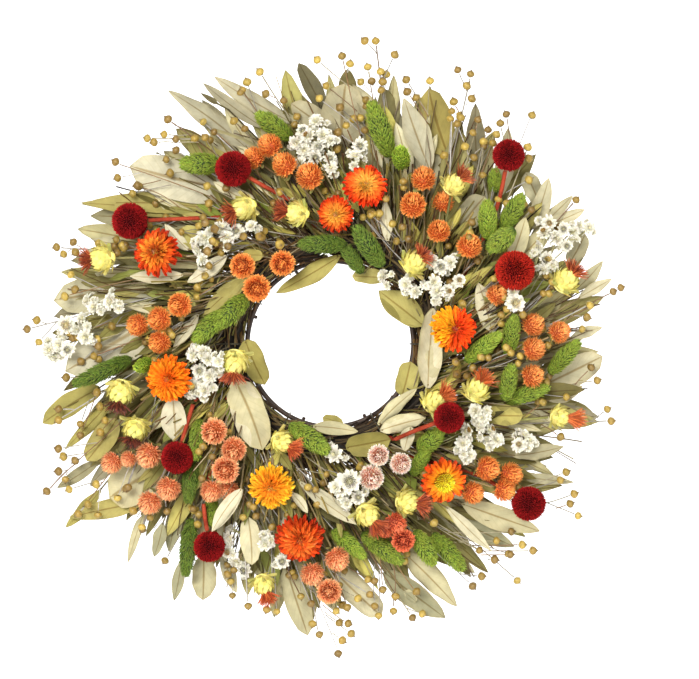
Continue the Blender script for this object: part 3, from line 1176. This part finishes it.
        # twigs and leaf scraps pressed against the inner rail
        for i in range(46):
            a = math.radians(part * 90 + rng.uniform(0, 90))
            r0 = rng.uniform(69, 76)
            d0, d1 = rng.uniform(8, 30), rng.uniform(8, 30)
            sp = rng.uniform(0.12, 0.42)
            p0 = np.array([RING[0] + r0 * math.cos(a), RING_Y.max() - d0 + 4, RING[2] + r0 * math.sin(a)])
            r1 = rng.uniform(66, 78)
            p1 = np.array([RING[0] + r1 * math.cos(a + sp), RING_Y.max() - d1 + 4, RING[2] + r1 * math.sin(a + sp)])
            mid = (p0 + p1) / 2
            k = np.hypot(mid[0] - RING[0], mid[2] - RING[2])
            mid[[0, 2]] = RING[[0, 2]] + (mid[[0, 2]] - RING[[0, 2]]) * ((r0 + r1) / 2 / k)
            tube(mesh, [p0, mid, p1], rng.uniform(0.4, 1.0), lin(["#4a3822", "#6e5434", "#2e2012", "#8a7348"][rng.randint(4)]), 5)
        mesh.build("loose_twigs_%d" % (part + 1), MAT["leaf"], "dry_stems", sharp=70)
        pods = Mesh()
        for i in range(15):
            a = math.radians(part * 90 + rng.uniform(0, 90))
            r0 = rng.uniform(84, 96)
            r1 = rng.uniform(100, 150)
            sw = math.radians(rng.normal(22, 8))
            base = np.array([RING[0] + r0 * math.cos(a), yb + rng.uniform(0, 6), RING[2] + r0 * math.sin(a)])
            end = np.array([RING[0] + r1 * math.cos(a + sw), yb - rng.uniform(4, 20), RING[2] + r1 * math.sin(a + sw)])
            for c in [end] + [end + rng.normal(0, 7, 3) for _ in range(rng.randint(1, 4))]:
                q = base + (end - base) * rng.uniform(0.55, 0.8)
                stem(pods, rng, q, c, 0.35, SILVER + ["#8a6a42"], 4, 0.04)
                capsule(pods, rng, c, rng.uniform(3.0, 3.7), unit(unit(c - q) + rng.normal(0, 0.15, 3)))
            stem(pods, rng, base, end, 0.5, SILVER + ["#8a6a42", "#7a5c3a"], 5, 0.03)
        for i in range([9, 11, 15, 12][part]):
            a = math.radians(part * 90 + rng.uniform(0, 90))
            r0 = rng.uniform(112, 140)
            r1 = rng.uniform(168, 218)
            sw = math.radians(rng.normal(14, 6))
            base = np.array([RING[0] + r0 * math.cos(a), RING_Y.max() - rng.uniform(14, 24), RING[2] + r0 * math.sin(a)])
            end = np.array([RING[0] + r1 * math.cos(a + sw), RING_Y.max() - rng.uniform(20, 32), RING[2] + r1 * math.sin(a + sw)])
            for c in [end] + [end + rng.normal(0, 8, 3) * [1, 0.5, 1] for _ in range(rng.randint(1, 4))]:
                q = base + (end - base) * rng.uniform(0.5, 0.75)
                stem(pods, rng, q, c, 0.35, SILVER + ["#8a6a42"], 4, 0.04)
                capsule(pods, rng, c, rng.uniform(3.2, 3.8), unit(unit(c - q) + rng.normal(0, 0.15, 3)))
            stem(pods, rng, base, end, 0.5, SILVER + ["#8a6a42", "#7a5c3a"], 5, 0.03)
        pods.build("loose_capsules_%d" % (part + 1), MAT["flax"], "flax_capsules")


for n in sorted(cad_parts):
    if n.startswith("gomphrena_"):
        do_gomphrena(n)
    elif n.startswith("drumstick_"):
        do_drum(n)
    elif n.startswith("strawflower_"):
        do_straw(n)
    elif n.startswith("canary_grass"):
        do_grass(n)
    elif n.startswith("everlasting_"):
        do_everlasting(n)
    elif n.startswith("safflower_"):
        do_safflower(n)
    elif n.startswith("flax_"):
        do_flax(n)
    elif n.startswith("leaves_"):
        do_leaves(n)
    elif n.startswith("stem_bundles"):
        do_bundles(n)
do_filler()


# ---------------------------------------------------------------- carried-over metal
def metal_mat(name, base, dark, rough, metal, scale):
    m = bpy.data.materials.new(name)
    m.use_nodes = True
    nt = m.node_tree
    p = nt.nodes["Principled BSDF"]
    tc = nt.nodes.new("ShaderNodeTexCoord")
    nz = nt.nodes.new("ShaderNodeTexNoise")
    nz.inputs["Scale"].default_value = scale
    nz.inputs["Detail"].default_value = 5
    nt.links.new(tc.outputs["Object"], nz.inputs["Vector"])
    cr = nt.nodes.new("ShaderNodeValToRGB")
    cr.color_ramp.elements[0].position = 0.35
    cr.color_ramp.elements[0].color = (*lin(dark), 1)
    cr.color_ramp.elements[1].position = 0.7
    cr.color_ramp.elements[1].color = (*lin(base), 1)
    nt.links.new(nz.outputs["Fac"], cr.inputs["Fac"])
    nt.links.new(cr.outputs["Color"], p.inputs["Base Color"])
    mr = nt.nodes.new("ShaderNodeMapRange")
    mr.inputs["To Min"].default_value = rough - 0.1
    mr.inputs["To Max"].default_value = rough + 0.15
    nt.links.new(nz.outputs["Fac"], mr.inputs["Value"])
    nt.links.new(mr.outputs["Result"], p.inputs["Roughness"])
    p.inputs["Metallic"].default_value = metal
    bp = nt.nodes.new("ShaderNodeBump")
    bp.inputs["Strength"].default_value = 0.25
    bp.inputs["Distance"].default_value = 0.0003
    nt.links.new(nz.outputs["Fac"], bp.inputs["Height"])
    nt.links.new(bp.outputs["Normal"], p.inputs["Normal"])
    return m


RAIL = metal_mat("rail_paint", "#4a3424", "#2c1e14", 0.5, 0.0, 260)
TIE = metal_mat("florist_wire", "#6a6452", "#3c382c", 0.45, 0.8, 500)
ZINC = metal_mat("zinc_plate", "#a8a8a4", "#74746f", 0.35, 1.0, 300)
for n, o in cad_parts.items():
    mat = RAIL if n.startswith("frame_") else TIE if n == "binding_wire" else ZINC if n == "hanging_loop" else None
    if mat is not None:
        o.data.materials.clear()
        o.data.materials.append(mat)

# ---------------------------------------------------------------- stage, light and camera
RC = RING * 0.001


def stage_mat(name, colour, seen, given):
    m = bpy.data.materials.new(name)
    m.use_nodes = True
    nt = m.node_tree
    p = nt.nodes["Principled BSDF"]
    p.inputs["Base Color"].default_value = (*colour, 1)
    p.inputs["Roughness"].default_value = 0.9
    p.inputs["Emission Color"].default_value = (1, 1, 1, 1)
    ray = nt.nodes.new("ShaderNodeLightPath")
    mr = nt.nodes.new("ShaderNodeMapRange")
    mr.inputs["To Min"].default_value = given
    mr.inputs["To Max"].default_value = seen
    nt.links.new(ray.outputs["Is Camera Ray"], mr.inputs["Value"])
    nt.links.new(mr.outputs["Result"], p.inputs["Emission Strength"])
    return m


def sweep():
    """A pale floor that curves up into a backdrop well behind the wreath."""
    prof = [(-9.0, -0.62), (2.6, -0.62)]
    for i in range(1, 9):
        a = math.pi / 2 * i / 8
        prof.append((2.6 + 0.8 * math.sin(a), -0.62 + 0.8 * (1 - math.cos(a))))
    prof.append((3.4, 6.0))
    v, f = [], []
    for y, z in prof:
        v += [(-9, y, z), (9, y, z)]
    for i in range(len(prof) - 1):
        f.append((2 * i, 2 * i + 1, 2 * i + 3, 2 * i + 2))
    me = bpy.data.meshes.new("backdrop")
    me.from_pydata(v, [], f)
    for p in me.polygons:
        p.use_smooth = True
    ob = bpy.data.objects.new("backdrop", me)
    me.materials.append(stage_mat("backdrop_white", (0.86, 0.86, 0.85), 0.95, 0.22))
    bpy.context.scene.collection.objects.link(ob)


sweep()
w = bpy.data.worlds.new("studio")
bpy.context.scene.world = w
w.use_nodes = True
wn, wl = w.node_tree.nodes, w.node_tree.links
wn["Background"].inputs["Color"].default_value = (1, 1, 1, 1)
wn["Background"].inputs["Strength"].default_value = 0.42
seen = wn.new("ShaderNodeBackground")
seen.inputs["Color"].default_value = (1, 1, 1, 1)
seen.inputs["Strength"].default_value = 1.0
ray = wn.new("ShaderNodeLightPath")
mx = wn.new("ShaderNodeMixShader")
wl.new(ray.outputs["Is Camera Ray"], mx.inputs[0])
wl.new(wn["Background"].outputs[0], mx.inputs[1])
wl.new(seen.outputs[0], mx.inputs[2])
wl.new(mx.outputs[0], wn["World Output"].inputs["Surface"])


def area(name, loc, target, size, power):
    d = bpy.data.lights.new(name, "AREA")
    d.size = size
    d.energy = power
    o = bpy.data.objects.new(name, d)
    o.location = loc
    o.rotation_euler = (Vector(target) - Vector(loc)).to_track_quat("-Z", "Y").to_euler()
    bpy.context.scene.collection.objects.link(o)


area("key", (-0.5, -1.75, 0.42), RC, 0.75, 37)
area("fill", (1.0, -1.5, -0.25), RC, 0.9, 10)
area("top", (0.1, -0.3, 1.5), RC, 0.8, 3)
area("back", (0.5, 1.6, 0.5), RC, 0.9, 18)

cam = bpy.data.cameras.new("cam")
cam.lens = 90
cam.sensor_width = 36
co = bpy.data.objects.new("cam", cam)
co.location = (RC[0] + 0.0156, -0.045 - 1.398, RC[2] + 0.0036)
co.rotation_euler = (math.radians(90), 0, 0)
bpy.context.scene.collection.objects.link(co)
bpy.context.scene.camera = co
bpy.context.scene.view_settings.view_transform = "Standard"
bpy.context.scene.view_settings.look = "None"
